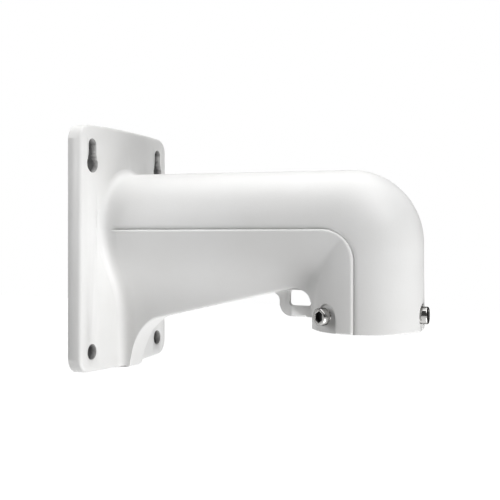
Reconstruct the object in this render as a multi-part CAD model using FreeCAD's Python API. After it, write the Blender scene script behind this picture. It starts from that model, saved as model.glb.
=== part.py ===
"""Wall bracket for a pendant dome camera: one hollow casting and three lock screws.

Millimetres. The origin is the middle of the plate's back face, on the wall. +X runs out of
the wall along the arm, +Z is up, and the casting is the same on both sides of Y = 0.
"""
import FreeCAD
import Part
import math
import os

# Wall plate
PLATE_W = 126.0
PLATE_H = 183.0
PLATE_ARCH = 1.3
PLATE_CORNER = 11.5
PLATE_EDGE_T = 10.6
PLATE_CROWN = 1.0
PLATE_EDGE_ROUND = 2.4
RIM = 5.0
FRONT_WALL = 4.6
HOLE_Y = 48.2
HOLE_LOW_Z = -75.5
HOLE_R = 5.8
KEY_ROUND_Z = 62.2
KEY_ROUND_R = 6.7
KEY_SLOT_Z = 75.8
KEY_SLOT_R = 4.7
HOLE_BREAK = 0.5
BOSS_WALL = 3.8
RIB_T = 3.0
RIB_Y = 24.0
CROSS_RIBS = ((68.0, RIB_Y), (20.0, 28.4), (-34.0, 8.0), (HOLE_LOW_Z, RIB_Y))
UPRIGHT_RIBS = ((30.0, 96.0), (-96.0, -20.0))
KEY_NECK_ANGLE = 28.0
KEY_NECK_RISE = 4.0

# Arm, elbow and cup
ARM_HALF = 37.4
ARM_TOP_AT_WALL = 57.0
ARM_TOP_FALL = 0.0090
LINE_Z = 13.8
ELBOW_X = 182.8
LINE_R = 21.3
ELBOW_Z = LINE_Z - LINE_R
OUTER_R = 50.5
CUP_X = 204.1
CUP_OUT_X = 242.4
CUP_DRAFT = 0.012
CUP_BOTTOM = -55.5
ROOT_R = 6.5
VALLEY_R = 15.0
PANEL_PROUD = 0.9
PANEL_START_X = 23.0
JOINT_LAP = 1.0
SECTION_STEPS = 16
FLARE_START = PLATE_EDGE_T + 0.6
HALF_WIDE = 60.0
WALL = 7.0
BORE_R = 30.0
BORE_TOP = -16.0
BORE_CHAMFER = 1.2
RIM_CHAMFER = 1.7

# Half-width of the arm below the moulded line, by height
FLANK = (
    (LINE_Z, 37.2),
    (8.0, 36.7),
    (0.0, 34.6),
    (-10.0, 30.0),
    (-22.0, 22.4),
    (-35.0, 15.6),
    (-48.0, 11.8),
    (-60.0, 10.3),
    (-76.0, 9.7),
    (-96.0, 9.4),
)

# Underside of the arm and front of the gusset, from the cup to the plate's foot
UNDER_CORNER = 10.0
UNDER_WALL_X = CUP_X - ARM_HALF + 1.6
UNDERSIDE = ((150.0, -28.0), (54.0, -50.4))
GUSSET = ((40.0, -54.6), (29.0, -64.5), (22.4, -77.5), (18.9, -92.0), (18.5, -96.0))

# Floor of the arm's hollow, from the cup back to the wall
CORE_TRIM = 0.5
CORE_FLOOR = ((148.0, -21.5), (56.0, -42.5), (30.0, -46.5), (-2.0, -47.5))

# Lock screws, M8 cap screws at 120 degrees
SCREW_Z = -44.3
SCREW_ANGLES = (0.0, 121.5, 238.5)
SEAT_R = 8.1
SEAT_AT = 34.8
HEAD_R = 6.5
HEAD_H = 8.0
SHANK_R = 4.0
SHANK_L = 3.7
SHANK_TIP = 0.8
HEAD_ROUND = 0.7
HEX_AF = 6.0
HEX_DEPTH = 4.0
HEX_MOUTH = 0.75
HEX_POINT = 1.2

# Safety-cord loop
LOOP_T = 4.4
LOOP_LEFT_X = 139.7
LOOP_BOTTOM_Z = -48.3
LOOP_HOLE = (146.8, 163.6, -40.7, -29.3)
LOOP_CORNER = 9.0
LOOP_TOP_Z = -20.0
LOOP_NECK = ((-5.0, -31.6), (-1.4, -33.6), (0.0, -37.2))
LOOP_HOLE_CORNER = 2.6
LOOP_HOLE_ROUND = 8.5

V = FreeCAD.Vector


def poly_face(points):
    """Flat face on a closed run of points."""
    return Part.Face(Part.makePolygon([V(*p) for p in points] + [V(*points[0])]))


def arc_edge(centre, radius, a0, a1):
    """Arc in a horizontal plane about a centre, from angle a0 to a1 in degrees."""
    pts = []
    for a in (a0, (a0 + a1) / 2.0, a1):
        r = math.radians(a)
        pts.append(V(centre.x + radius * math.cos(r), centre.y + radius * math.sin(r), centre.z))
    return Part.Arc(*pts).toShape()


def plate_outline(inset=0.0):
    """Closed outline of the plate in the plane X = 0, with arched top and bottom edges."""
    w = PLATE_W / 2.0 - inset
    h = PLATE_H / 2.0 - inset
    r = max(PLATE_CORNER - inset, 1.5)
    drop = PLATE_ARCH
    yc = w - r
    zc = h - drop - r
    k = math.sqrt(0.5)

    def pt(y, z):
        return V(0.0, y, z)

    edges = []
    for sy, sz in ((1, 1), (1, -1), (-1, -1), (-1, 1)):
        side_end = pt(sy * w, sz * zc)
        mid = pt(sy * (yc + r * k), sz * (zc + r * k))
        top_end = pt(sy * yc, sz * (zc + r))
        edges.append((side_end, mid, top_end))
    shapes = []
    for (a, m, b) in edges:
        shapes.append(Part.Arc(a, m, b).toShape())
    zt = h - drop
    shapes.append(Part.Arc(pt(-yc, zt), pt(0.0, h), pt(yc, zt)).toShape())
    shapes.append(Part.Arc(pt(-yc, -zt), pt(0.0, -h), pt(yc, -zt)).toShape())
    shapes.append(Part.makeLine(pt(w, zc), pt(w, -zc)))
    shapes.append(Part.makeLine(pt(-w, zc), pt(-w, -zc)))
    wire = Part.Wire(Part.__sortEdges__(shapes))
    return Part.Face(wire)


def crowned_slab(edge_x, start_x):
    """Slab whose front is slightly convex across its width, for trimming the plate."""
    half = PLATE_W / 2.0 + 2.0
    z = -PLATE_H / 2.0 - 5.0
    front = Part.Arc(V(edge_x, -half, z), V(edge_x + PLATE_CROWN, 0.0, z), V(edge_x, half, z))
    back = Part.makePolygon([V(edge_x, half, z), V(start_x, half, z), V(start_x, -half, z), V(edge_x, -half, z)])
    face = Part.Face(Part.Wire([front.toShape()] + back.Edges))
    return face.extrude(V(0, 0, PLATE_H + 10.0))


def front_x(y):
    """Height of the plate's front face above the wall at a distance from the middle."""
    half = PLATE_W / 2.0 + 2.0
    return PLATE_EDGE_T + PLATE_CROWN * (1.0 - (y / half) ** 2)


def plate_body():
    """Plate with its crowned front and softly rounded front edge."""
    blank = plate_outline().extrude(V(20.0, 0, 0))
    body = blank.common(crowned_slab(PLATE_EDGE_T, -1.0))
    rim = []
    for e in body.Edges:
        b = e.BoundBox
        if b.XMin > PLATE_EDGE_T - 1.0:
            rim.append(e)
    return body.makeFillet(PLATE_EDGE_ROUND, rim)


def keyhole(grow, depth0, depth1, side):
    """Keyhole prism: a round part below and a narrower slot above it."""
    cut = Part.makeCylinder(KEY_ROUND_R + grow, depth1 - depth0, V(depth0, side * HOLE_Y, KEY_ROUND_Z), V(1, 0, 0))
    top = Part.makeCylinder(KEY_SLOT_R + grow, depth1 - depth0, V(depth0, side * HOLE_Y, KEY_SLOT_Z), V(1, 0, 0))
    r0 = KEY_ROUND_R + grow
    r1 = KEY_SLOT_R + grow
    a = math.radians(KEY_NECK_ANGLE)
    y = side * HOLE_Y
    low = KEY_ROUND_Z + r0 * math.sin(a)
    neck = poly_face([
        (depth0, y - r0 * math.cos(a), low),
        (depth0, y + r0 * math.cos(a), low),
        (depth0, y + r1, low + KEY_NECK_RISE),
        (depth0, y + r1, KEY_SLOT_Z),
        (depth0, y - r1, KEY_SLOT_Z),
        (depth0, y - r1, low + KEY_NECK_RISE),
    ]).extrude(V(depth1 - depth0, 0, 0))
    return cut.fuse([top, neck]).removeSplitter()


def low_hole(grow, depth0, depth1, side):
    """Round fixing hole near a bottom corner."""
    return Part.makeCylinder(HOLE_R + grow, depth1 - depth0, V(depth0, side * HOLE_Y, HOLE_LOW_Z), V(1, 0, 0))


def back_pocket():
    """Pocket cast into the back of the plate, standing clear of the screw bosses and ribs."""
    pocket = plate_outline(RIM).extrude(V(PLATE_EDGE_T - FRONT_WALL + 1.0, 0, 0))
    pocket.translate(V(-1.0, 0, 0))
    keep = []
    for side in (-1, 1):
        keep.append(low_hole(BOSS_WALL, -2.0, 12.0, side))
        keep.append(keyhole(BOSS_WALL, -2.0, 12.0, side))
        for z, y0 in CROSS_RIBS:
            length = 64.0 - y0
            keep.append(Part.makeBox(14.0, length, RIB_T, V(-2.0, y0 if side > 0 else -64.0, z - RIB_T / 2.0)))
        for z0, z1 in UPRIGHT_RIBS:
            keep.append(Part.makeBox(14.0, RIB_T, z1 - z0, V(-2.0, side * RIB_Y - RIB_T / 2.0, z0)))
    return pocket.cut(keep)


def top_z(x):
    """Height of the arm's top line."""
    return ARM_TOP_AT_WALL - ARM_TOP_FALL * x


def outer_reach(theta, inset):
    """Distance from the elbow centre to the outer face along a ray at angle theta (degrees)."""
    top = top_z(ELBOW_X)
    cx = CUP_OUT_X - OUTER_R
    cz = top - OUTER_R
    dx = math.cos(math.radians(theta))
    dz = math.sin(math.radians(theta))
    ox = ELBOW_X - cx
    oz = ELBOW_Z - cz
    b = ox * dx + oz * dz
    c = ox * ox + oz * oz - OUTER_R ** 2
    d = -b + math.sqrt(b * b - c)
    px = ELBOW_X + d * dx
    pz = ELBOW_Z + d * dz
    if px < cx:
        d = (top - ELBOW_Z) / dz
    elif pz < cz:
        d = (CUP_OUT_X - ELBOW_X) / dx
    return d - inset


def half_ring(base, direction, half, reach):
    """Half-elliptical section standing on a base point, closed by a flat chord."""
    y = V(0, 1, 0)
    pts = []
    for i in range(SECTION_STEPS + 1):
        a = math.pi * i / SECTION_STEPS
        pts.append(base + y * (half * math.cos(a)) + direction * (reach * math.sin(a)))
    curve = Part.BSplineCurve()
    curve.interpolate(Points=pts)
    return Part.Wire([curve.toShape(), Part.makeLine(pts[-1], pts[0])])


def root_flare(x):
    """Extra size of the arm where it flares into the plate."""
    g = x - FLARE_START
    if g >= ROOT_R:
        return 0.0
    g = max(g, 0.0)
    return ROOT_R - math.sqrt(ROOT_R ** 2 - (ROOT_R - g) ** 2)


def ring_at_x(x, inset, flare):
    """Section of the straight arm at a distance from the wall."""
    e = root_flare(x) if flare else 0.0
    reach = top_z(x) - inset + e - LINE_Z + JOINT_LAP
    return half_ring(V(x, 0, LINE_Z - JOINT_LAP), V(0, 0, 1), ARM_HALF - inset + e, reach)


def ring_at_angle(theta, inset):
    """Section of the elbow on a ray from the elbow centre."""
    d = V(math.cos(math.radians(theta)), 0, math.sin(math.radians(theta)))
    r0 = LINE_R - JOINT_LAP
    base = V(ELBOW_X, 0, ELBOW_Z) + d * r0
    return half_ring(base, d, ARM_HALF - inset, outer_reach(theta, inset) - r0)


def ring_at_z(z, inset):
    """Section of the cup's front half at a height."""
    grow = CUP_DRAFT * (ELBOW_Z - z)
    base = V(CUP_X - JOINT_LAP, 0, z)
    return half_ring(base, V(1, 0, 0), ARM_HALF - inset, CUP_OUT_X - inset + grow - CUP_X + JOINT_LAP)


def outer_half(inset=0.0):
    """Outer half of the arm: half tube, elbow and the front half of the cup."""
    t = FLARE_START
    parts = []
    if inset:
        parts.append(Part.makeLoft([ring_at_x(-2.0, inset, False), ring_at_x(ELBOW_X, inset, False)], True, True))
        low = BORE_TOP - 1.0
    else:
        start = t + ROOT_R
        steps = [t + ROOT_R * (1.0 - math.cos(math.radians(a))) for a in (0, 15, 30, 45, 60, 75, 90)]
        parts.append(Part.makeLoft([ring_at_x(6.0, 0.0, True), ring_at_x(t, 0.0, True)], True, True))
        parts.append(Part.makeLoft([ring_at_x(x, 0.0, True) for x in steps], True, False))
        parts.append(Part.makeLoft([ring_at_x(start, 0.0, False), ring_at_x(ELBOW_X, 0.0, False)], True, True))
        low = CUP_BOTTOM
    angles = [90.0 - 7.5 * i for i in range(13)]
    parts.append(Part.makeLoft([ring_at_angle(a, inset) for a in angles], True, False))
    parts.append(Part.makeLoft([ring_at_z(ELBOW_Z, inset), ring_at_z(low, inset)], True, True))
    return parts[0].fuse(parts[1:])


def flank_level(z, w, inset, start_x, flare):
    """Closed horizontal section of the lower arm: flare, straight flank, valley and cup side."""
    half = w - inset
    r_cup = ARM_HALF - inset
    rv = VALLEY_R + inset
    cx = CUP_X - math.sqrt((r_cup + rv) ** 2 - (half + rv) ** 2)
    edges = []
    a_end = math.degrees(math.atan2(-(half + rv), CUP_X - cx))
    for side in (1, -1):
        run = []
        if flare:
            t = FLARE_START
            run.append(Part.makeLine(V(start_x, side * (half + ROOT_R), z), V(t, side * (half + ROOT_R), z)))
            c = V(t + ROOT_R, side * (half + ROOT_R), z)
            run.append(arc_edge(c, ROOT_R, 180.0, 180.0 + side * 90.0))
            run.append(Part.makeLine(V(t + ROOT_R, side * half, z), V(cx, side * half, z)))
        else:
            run.append(Part.makeLine(V(start_x, side * half, z), V(cx, side * half, z)))
        run.append(arc_edge(V(cx, side * (half + rv), z), rv, -side * 90.0, side * a_end))
        a_cup = 180.0 + a_end
        run.append(arc_edge(V(CUP_X, 0, z), r_cup, side * a_cup, side * 90.0))
        if side < 0:
            run.reverse()
        edges.append(run)
    y0 = (half + ROOT_R) if flare else half
    closing_cup = Part.makeLine(V(CUP_X, r_cup, z), V(CUP_X, -r_cup, z))
    closing_wall = Part.makeLine(V(start_x, -y0, z), V(start_x, y0, z))
    return Part.Wire(edges[0] + [closing_cup] + edges[1] + [closing_wall])


def flank_loft(inset, start_x, flare):
    """Solid through the horizontal sections, before its side outline is cut."""
    wires = []
    for z, w in reversed(FLANK):
        if inset > 0.0 and z < -50.0:
            continue
        wires.append(flank_level(z, w, inset, start_x, flare))
    return Part.makeLoft(wires, True, False)


def side_outline(x0):
    """Side outline of the lower arm in the plane Y = 0."""
    c = V(ELBOW_X, 0, ELBOW_Z)
    k = math.sqrt(0.5)
    line_start = V(x0, 0, LINE_Z)
    line_end = V(ELBOW_X, 0, LINE_Z)
    edges = [Part.makeLine(line_start, line_end)]
    mid = c + V(LINE_R * k, 0, (LINE_Z - ELBOW_Z) * k)
    edges.append(Part.Arc(line_end, mid, V(CUP_X, 0, ELBOW_Z)).toShape())
    edges.append(Part.makeLine(V(CUP_X, 0, ELBOW_Z), V(CUP_X, 0, CUP_BOTTOM)))
    wall_x = UNDER_WALL_X
    edges.append(Part.makeLine(V(CUP_X, 0, CUP_BOTTOM), V(wall_x, 0, CUP_BOTTOM)))
    r = UNDER_CORNER
    z0 = UNDERSIDE[0][1]
    edges.append(Part.makeLine(V(wall_x, 0, CUP_BOTTOM), V(wall_x, 0, z0 - r + 1.0)))
    corner = Part.Arc(
        V(wall_x, 0, z0 - r + 1.0),
        V(wall_x - r * 0.30, 0, z0 - r * 0.27),
        V(wall_x - r, 0, z0 + 1.0),
    )
    edges.append(corner.toShape())
    edges.append(Part.makeLine(V(wall_x - r, 0, z0 + 1.0), V(UNDERSIDE[0][0], 0, z0)))
    edges.append(Part.makeLine(V(UNDERSIDE[0][0], 0, z0), V(UNDERSIDE[1][0], 0, UNDERSIDE[1][1])))
    pts = [V(UNDERSIDE[1][0], 0, UNDERSIDE[1][1])] + [V(x, 0, z) for x, z in GUSSET]
    curve = Part.BSplineCurve()
    slope = (UNDERSIDE[0][1] - UNDERSIDE[1][1]) / (UNDERSIDE[0][0] - UNDERSIDE[1][0])
    curve.interpolate(Points=pts, InitialTangent=V(-1, 0, -slope), FinalTangent=V(-0.06, 0, -1))
    edges.append(curve.toShape())
    last = pts[-1]
    edges.append(Part.makeLine(last, V(x0, 0, last.z)))
    edges.append(Part.makeLine(V(x0, 0, last.z), line_start))
    return Part.Face(Part.Wire(edges))


def lower_half():
    """Lower arm with its sloping underside and the gusset down to the plate's foot."""
    body = flank_loft(0.0, 6.0, True)
    prism = side_outline(6.0).extrude(V(0, 2.0 * HALF_WIDE, 0))
    prism.translate(V(0, -HALF_WIDE, 0))
    return body.common(prism)


def panel_skin():
    """Raised side panel inside the moulded line, a little proud of the tube."""
    body = flank_loft(-PANEL_PROUD, PANEL_START_X, False)
    prism = side_outline(PANEL_START_X).extrude(V(0, 2.0 * HALF_WIDE, 0))
    prism.translate(V(0, -HALF_WIDE, 0))
    return body.common(prism)


def lower_core():
    """Hollow of the lower arm, open at the back of the plate."""
    body = flank_loft(WALL - CORE_TRIM, -2.0, False)
    c = V(ELBOW_X, 0, ELBOW_Z)
    k = math.sqrt(0.5)
    up = LINE_Z
    mid = c + V(LINE_R * k, 0, LINE_R * k)
    low = BORE_TOP - JOINT_LAP
    run = [(CUP_X, low), (CUP_X - ARM_HALF + WALL + 2.0, low)]
    run.extend(CORE_FLOOR)
    run.append((-2.0, up))
    pts = [V(x, 0, z) for x, z in run]
    edges = [Part.makeLine(V(-2.0, 0, up), V(ELBOW_X, 0, up))]
    edges.append(Part.Arc(V(ELBOW_X, 0, up), mid, V(CUP_X, 0, ELBOW_Z)).toShape())
    edges.append(Part.makeLine(V(CUP_X, 0, ELBOW_Z), pts[0]))
    for i in range(len(pts) - 1):
        edges.append(Part.makeLine(pts[i], pts[i + 1]))
    prism = Part.Face(Part.Wire(edges)).extrude(V(0, 2.0 * HALF_WIDE, 0))
    prism.translate(V(0, -HALF_WIDE, 0))
    return body.common(prism)


def cup_bore():
    """Bore of the cup for the camera's adaptor, with a broken entry edge."""
    bore = Part.makeCylinder(BORE_R, BORE_TOP - CUP_BOTTOM + 2.0, V(CUP_X, 0, CUP_BOTTOM - 2.0))
    throat = Part.makeCylinder(BORE_R - 2.5, 30.0, V(CUP_X, 0, BORE_TOP - 0.5))
    c = BORE_CHAMFER
    entry = Part.makeCone(BORE_R + c + 1.0, BORE_R, c + 1.0, V(CUP_X, 0, CUP_BOTTOM - 1.0))
    return [bore, throat, entry]


def rim_chamfer():
    """Ring that takes the corner off the cup's outer bottom edge."""
    r = ARM_HALF + PANEL_PROUD - RIM_CHAMFER
    z = CUP_BOTTOM
    face = poly_face([
        (CUP_X + r - 1.0, 0, z - 1.0),
        (CUP_X + r + 9.0, 0, z - 1.0),
        (CUP_X + r + 9.0, 0, z + 9.0),
    ])
    return face.revolve(V(CUP_X, 0, 0), V(0, 0, 1), 360.0)


def along(angle, radius, z):
    """Point at a radius from the cup's axis."""
    a = math.radians(angle)
    return V(CUP_X + radius * math.cos(a), radius * math.sin(a), z)


def outward(angle):
    """Unit direction away from the cup's axis."""
    a = math.radians(angle)
    return V(math.cos(a), math.sin(a), 0)


def screw_seat(angle):
    """Flat U-topped seat cut in the cup for a lock screw's head, open at the bottom.

    The two rear seats also run out towards the arm, so the side dies can draw.
    """
    d = outward(angle)
    start = along(angle, SEAT_AT, SCREW_Z)
    round_top = Part.makeCylinder(SEAT_R, 12.0, start, d)
    slot = Part.makeBox(12.0, 2.0 * SEAT_R, 30.0, V(0, -SEAT_R, -30.0))
    if angle > 0.0:
        open_y = 0.0 if angle < 180.0 else -24.0
        run_out = Part.makeBox(12.0, 24.0, 30.0, V(0, open_y, -30.0))
        slot = slot.fuse(run_out)
    slot.rotate(V(0, 0, 0), V(0, 0, 1), angle)
    slot.translate(start)
    return round_top.fuse(slot).removeSplitter()


def tapped_hole(angle):
    """Hole through the cup's wall for a lock screw."""
    return Part.makeCylinder(SHANK_R, 20.0, along(angle, BORE_R - 8.0, SCREW_Z), outward(angle))


def cord_loop():
    """Flat loop under the arm beside the cup, with the hole for a safety cord."""
    x0 = LOOP_LEFT_X
    zb = LOOP_BOTTOM_Z
    xe = CUP_X - ARM_HALF + 3.0
    r = LOOP_CORNER
    far = r * (1.0 - math.sqrt(0.5))
    neck = [V(x0 + x, 0, z) for x, z in LOOP_NECK]
    top = V(neck[0].x, 0, LOOP_TOP_Z)
    edges = [Part.makeLine(top, neck[0]), Part.Arc(*neck).toShape()]
    edges.append(Part.makeLine(neck[2], V(x0, 0, zb + r)))
    edges.append(Part.Arc(V(x0, 0, zb + r), V(x0 + far, 0, zb + far), V(x0 + r, 0, zb)).toShape())
    edges.append(Part.makeLine(V(x0 + r, 0, zb), V(xe, 0, zb - 0.4)))
    edges.append(Part.makeLine(V(xe, 0, zb - 0.4), V(xe, 0, LOOP_TOP_Z)))
    edges.append(Part.makeLine(V(xe, 0, LOOP_TOP_Z), top))
    tab = Part.Face(Part.Wire(edges)).extrude(V(0, LOOP_T, 0))
    tab.translate(V(0, -LOOP_T / 2.0, 0))
    return tab


def loop_hole():
    """D-shaped hole of the loop: square to the left, widely rounded beside the cup."""
    xa, xb, za, zb = LOOP_HOLE
    r = LOOP_HOLE_CORNER
    k = math.sqrt(0.5)
    big = LOOP_HOLE_ROUND

    def corner(cx, cz, rad, sx, sz):
        a = V(cx + (rad if sx * sz > 0 else 0) * sx, 0, cz + (0 if sx * sz > 0 else rad) * sz)
        m = V(cx + rad * k * sx, 0, cz + rad * k * sz)
        b = V(cx + (0 if sx * sz > 0 else rad) * sx, 0, cz + (rad if sx * sz > 0 else 0) * sz)
        return a, m, b

    corners = [
        corner(xb - r, za + r, r, 1, -1),
        corner(xb - big - 0.6, zb - big, big, 1, 1),
        corner(xa + r, zb - r, r, -1, 1),
        corner(xa + r, za + r, r, -1, -1),
    ]
    edges = []
    for i, (a, m, b) in enumerate(corners):
        edges.append(Part.Arc(a, m, b).toShape())
        edges.append(Part.makeLine(b, corners[(i + 1) % 4][0]))
    hole = Part.Face(Part.Wire(edges)).extrude(V(0, LOOP_T + 4.0, 0))
    hole.translate(V(0, -LOOP_T / 2.0 - 2.0, 0))
    return hole


def lock_screw(angle):
    """Socket-head cap screw seated on its pad, with a hexagon socket and a plain shank."""
    d = outward(angle)
    head = Part.makeCylinder(HEAD_R, HEAD_H, along(angle, SEAT_AT, SCREW_Z), d)
    tip_edge = []
    for e in head.Edges:
        if e.Curve.TypeId == "Part::GeomCircle":
            if (e.Curve.Center - along(angle, SEAT_AT + HEAD_H, SCREW_Z)).Length < 0.01:
                tip_edge.append(e)
    head = head.makeFillet(HEAD_ROUND, tip_edge)
    shank = Part.makeCylinder(SHANK_R, SHANK_L, along(angle, SEAT_AT - SHANK_L, SCREW_Z), d)
    end = along(angle, SEAT_AT - SHANK_L - SHANK_TIP, SCREW_Z)
    shank = shank.fuse(Part.makeCone(SHANK_R - SHANK_TIP, SHANK_R, SHANK_TIP, end, d))
    rc = HEX_AF / math.sqrt(3.0)
    face = SEAT_AT + HEAD_H
    top = along(angle, face, SCREW_Z)
    side = V(-d.y, d.x, 0)
    pts = []
    for i in range(7):
        a = math.radians(60.0 * i + 30.0)
        pts.append(top + side * (rc * math.sin(a)) + V(0, 0, 1) * (rc * math.cos(a)))
    socket = Part.Face(Part.makePolygon(pts)).extrude(d * -HEX_DEPTH)
    mouth = Part.makeCone(rc - 0.5, rc + 0.25, HEX_MOUTH, along(angle, face - HEX_MOUTH + 0.01, SCREW_Z), d)
    point = Part.makeCone(0.4, HEX_AF / 2.0, HEX_POINT, along(angle, face - HEX_DEPTH - HEX_POINT, SCREW_Z), d)
    return head.fuse(shank).removeSplitter().cut([socket, mouth, point])


def bracket_casting():
    """The whole casting."""
    body = plate_body().fuse([outer_half(), lower_half(), panel_skin(), cord_loop()])
    low_trim = Part.makeBox(60.0, 60.0, 20.0, V(-5.0, -30.0, -PLATE_H / 2.0 - 20.0))
    cuts = [low_trim, back_pocket(), outer_half(WALL), lower_core(), loop_hole()]
    cuts.extend(cup_bore())
    cuts.append(rim_chamfer())
    for side in (-1, 1):
        cuts.append(low_hole(0.0, -2.0, 20.0, side))
        cuts.append(keyhole(0.0, -2.0, 20.0, side))
        z = HOLE_LOW_Z
        x = front_x(HOLE_Y)
        b = HOLE_BREAK
        cuts.append(Part.makeCone(HOLE_R, HOLE_R + b + 1.0, b + 1.0, V(x - b, side * HOLE_Y, z), V(1, 0, 0)))
    for angle in SCREW_ANGLES:
        cuts.append(screw_seat(angle))
        cuts.append(tapped_hole(angle))
    for c in cuts:
        body = body.cut(c)
    return body.Solids[0] if len(body.Solids) == 1 else body


def main():
    """Write one STEP file for each piece."""
    os.makedirs("parts", exist_ok=True)
    casting = bracket_casting()
    casting.exportStep("parts/bracket_casting.step")
    print("bracket_casting", casting.ShapeType, casting.isValid(), round(casting.Volume), len(casting.Faces))
    for i, angle in enumerate(SCREW_ANGLES):
        screw = lock_screw(angle)
        screw = screw.Solids[0] if len(screw.Solids) == 1 else screw
        name = "lock_screw_%d" % (i + 1)
        screw.exportStep("parts/%s.step" % name)
        print(name, screw.ShapeType, screw.isValid(), round(screw.Volume))


main()
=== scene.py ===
"""Looks of a camera wall bracket: one white powder-coated casting and three steel lock screws.

Everything is in metres in the CAD frame: the wall is the plane X = 0, +X runs out along the arm
and +Z is up.
"""

import logging
import math
from dataclasses import dataclass, field
from enum import Enum

import bmesh
import bpy
import numpy as np
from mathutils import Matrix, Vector

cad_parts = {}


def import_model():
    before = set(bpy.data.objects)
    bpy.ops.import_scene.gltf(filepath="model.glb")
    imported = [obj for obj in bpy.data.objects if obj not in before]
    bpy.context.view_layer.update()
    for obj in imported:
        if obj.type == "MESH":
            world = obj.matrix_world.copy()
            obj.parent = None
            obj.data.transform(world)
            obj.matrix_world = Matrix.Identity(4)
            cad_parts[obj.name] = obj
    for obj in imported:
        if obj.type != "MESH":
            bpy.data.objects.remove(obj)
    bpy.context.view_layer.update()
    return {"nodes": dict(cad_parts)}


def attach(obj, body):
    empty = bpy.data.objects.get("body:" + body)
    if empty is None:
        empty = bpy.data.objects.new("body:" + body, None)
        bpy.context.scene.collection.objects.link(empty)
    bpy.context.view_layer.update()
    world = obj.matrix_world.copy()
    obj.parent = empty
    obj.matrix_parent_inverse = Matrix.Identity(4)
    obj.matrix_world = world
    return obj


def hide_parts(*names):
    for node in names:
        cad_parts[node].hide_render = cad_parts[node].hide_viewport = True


LOG = logging.getLogger("bracket")
BODY = "root"
MM = 1000.0
WHITE = (1.0, 1.0, 1.0, 1.0)

Tone = tuple[float, float, float, float]


class Slot(Enum):
    """The record's material slots."""

    WHITE_COAT = "white_coat"
    SCREW_STEEL = "screw_steel"


class NodeGraph:
    """A small helper that adds and links the nodes of one material."""

    def __init__(self, name: str) -> None:
        """Start an empty material of that name with its output node."""
        self.material = bpy.data.materials.new(name)
        self.material.use_nodes = True
        self.tree = self.material.node_tree
        self.tree.nodes.clear()
        self.output = self.tree.nodes.new("ShaderNodeOutputMaterial")

    def add(self, kind: str, **values: object) -> bpy.types.Node:
        """Add a node and set its properties or named input sockets.

        Args:
            kind: Blender's name of the node type.
            values: property values, or input values under "in_" and the socket's name.

        Returns:
            The new node.
        """
        node = self.tree.nodes.new(kind)
        for key, value in values.items():
            if key.startswith("in_"):
                node.inputs[key[3:].replace("_", " ")].default_value = value
            else:
                setattr(node, key, value)
        return node

    def link(self, source: bpy.types.NodeSocket, target: bpy.types.NodeSocket) -> None:
        """Join an output socket to an input socket."""
        self.tree.links.new(source, target)

    def noise(self, scale: float, detail: float, rough: float = 0.5) -> bpy.types.NodeSocket:
        """Add a noise texture on Object coordinates.

        Args:
            scale: cells per metre.
            detail: number of octaves.
            rough: strength of the finer octaves.

        Returns:
            The noise's grey output socket, around 0.5.
        """
        place = self.add("ShaderNodeTexCoord")
        texture = self.add("ShaderNodeTexNoise", in_Scale=scale, in_Detail=detail, in_Roughness=rough)
        self.link(place.outputs["Object"], texture.inputs["Vector"])
        return texture.outputs["Fac"]

    def spread(
        self, source: bpy.types.NodeSocket, low: float, high: float, first: float = 0.3, last: float = 0.7
    ) -> bpy.types.NodeSocket:
        """Map a grey value from first..last to low..high.

        Args:
            source: the grey value.
            low: result at first.
            high: result at last.
            first: grey value that gives low.
            last: grey value that gives high.

        Returns:
            The mapped value's socket.
        """
        node = self.add("ShaderNodeMapRange")
        for name, value in (("From Min", first), ("From Max", last), ("To Min", low), ("To Max", high)):
            node.inputs[name].default_value = value
        self.link(source, node.inputs["Value"])
        return node.outputs["Result"]


    def two_tone(
        self,
        shader: bpy.types.Node,
        grey: bpy.types.NodeSocket,
        tones: tuple[Tone, Tone],
        places: tuple[float, float] = (0.3, 0.7),
    ) -> None:
        """Colour a shader from its deep tone to its light one as a grey value rises.

        Args:
            shader: the surface shader.
            grey: the value that picks the tone.
            tones: the deep tone and the light one.
            places: the grey values at which they are reached.
        """
        ramp = self.add("ShaderNodeValToRGB")
        for stop, place, tone in zip(ramp.color_ramp.elements, places, tones):
            stop.position = place
            stop.color = tone
        self.link(grey, ramp.inputs["Fac"])
        self.link(ramp.outputs["Color"], shader.inputs["Base Color"])

    def relief(self, shader: bpy.types.Node, *layers: tuple[float, float, float, float, float]) -> None:
        """Bump a shader's normal with layers of noise, each on top of the one before.

        Args:
            shader: the surface shader.
            layers: each one's noise scale, octaves and roughness, its strength, and its depth in metres.
        """
        normal = None
        for scale, detail, rough, strength, depth in layers:
            bump = self.add("ShaderNodeBump", in_Strength=strength, in_Distance=depth)
            self.link(self.noise(scale, detail, rough), bump.inputs["Height"])
            if normal:
                self.link(normal, bump.inputs["Normal"])
            normal = bump.outputs["Normal"]
        self.link(normal, shader.inputs["Normal"])

    def finish(self, shader: bpy.types.Node) -> bpy.types.Material:
        """Join the shader to the output and hand over the material."""
        self.link(shader.outputs["BSDF"], self.output.inputs["Surface"])
        return self.material


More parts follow.
